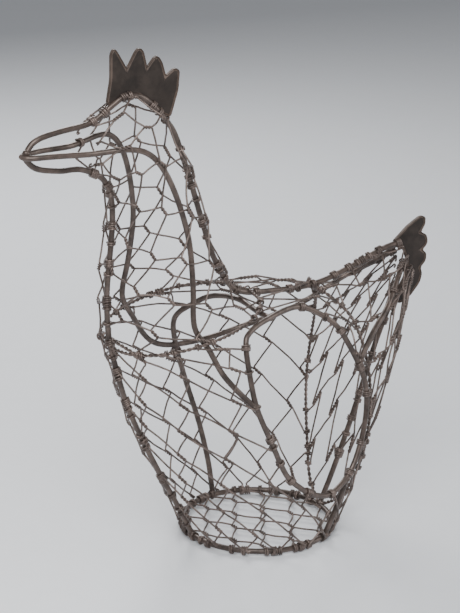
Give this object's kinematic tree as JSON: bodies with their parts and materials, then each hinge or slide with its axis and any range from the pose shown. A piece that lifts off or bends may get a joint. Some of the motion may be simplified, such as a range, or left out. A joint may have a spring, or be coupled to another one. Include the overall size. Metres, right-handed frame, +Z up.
{
  "type": "wire produce basket",
  "caption": "Hen-shaped wire basket: bent wire frame on a round base, hexagonal netting skin, sheet-metal comb and tail, opening in the left flank.",
  "frame": {"origin": "centre of the base ring, on the surface that the basket stands on", "axes": "+Z up, -X the way the hen faces, -Y the hen's left flank, which has the opening"},
  "size_m": [0.3435, 0.1424, 0.384],
  "materials": {
    "frame_steel": "matt warm grey-brown antiqued wire",
    "net_steel": "thin twisted wire, antiqued grey-brown, lighter on its edges",
    "plate_steel": "dark brown matt sheet metal"
  },
  "bodies": {
    "root": {"base_ring": "frame_steel", "spine_wire": "frame_steel", "breast_wire": "frame_steel", "rump_wire": "frame_steel", "left_side_wire": "frame_steel", "right_side_wire": "frame_steel", "opening_ring": "frame_steel", "saddle_hoop": "frame_steel", "left_tail_wire": "frame_steel", "left_leg": "frame_steel", "comb": "plate_steel", "tail_plate": "plate_steel", "left_neck_netting": "net_steel", "right_neck_netting": "net_steel", "left_flank_netting": "net_steel", "right_flank_netting": "net_steel", "left_tail_netting": "net_steel", "right_tail_netting": "net_steel", "base_netting": "net_steel", "comb_ties": "net_steel", "spine_ties": "net_steel", "breast_ties": "net_steel", "ring_ties": "net_steel", "tail_ties": "net_steel", "base_ties": "net_steel"}
  },
  "joints": []
}
